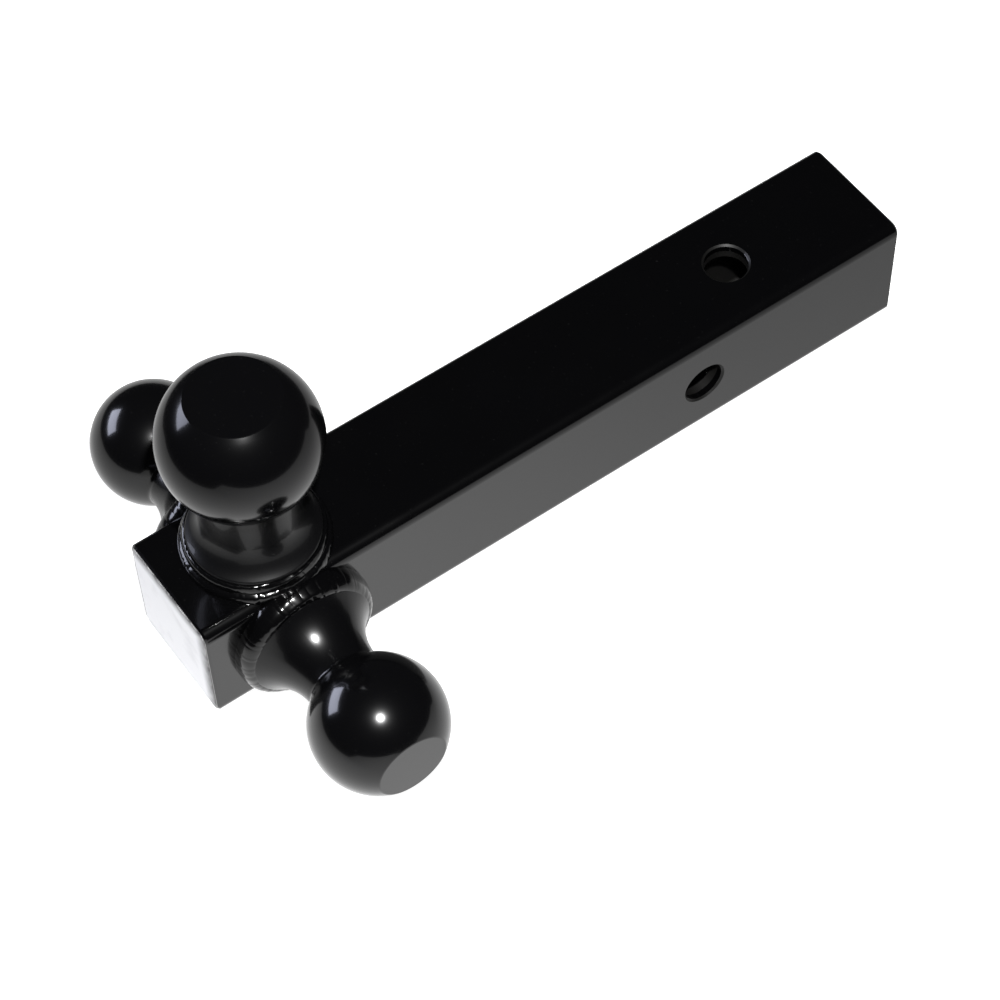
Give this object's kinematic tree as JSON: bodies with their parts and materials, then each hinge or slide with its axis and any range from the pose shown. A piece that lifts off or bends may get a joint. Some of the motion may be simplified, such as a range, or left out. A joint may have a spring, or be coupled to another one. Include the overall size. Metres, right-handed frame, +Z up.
{
  "type": "trailer hitch ball mount",
  "caption": "Welded trailer hitch ball mount: square hollow receiver shank with offset pin bores at one end and coupler balls of graded sizes on top and each side of its closed end.",
  "frame": {"origin": "centre of the horizontal cross pin bore, where its axis crosses the shank's long axis", "axes": "+X along the shank towards its open receiver end (the vehicle), +Y to the vehicle's left, +Z up with the largest ball on top"},
  "size_m": [0.3113, 0.191, 0.1347],
  "materials": {
    "shank_paint": "gloss black paint over drawn steel tube",
    "plate_paint": "gloss black paint over cut steel plate",
    "ball_paint": "smooth high gloss black paint over turned steel",
    "weld_paint": "gloss black paint over rippled weld bead",
    "label_vinyl": "blank white vinyl label, satin"
  },
  "bodies": {
    "root": {"shank_tube": "shank_paint", "end_plate": "plate_paint", "end_plate_weld": "weld_paint", "top_ball": "ball_paint", "right_ball": "ball_paint", "left_ball": "ball_paint", "top_ball_weld": "weld_paint", "right_ball_weld": "weld_paint", "left_ball_weld": "weld_paint", "rating_label": "label_vinyl"}
  },
  "joints": []
}
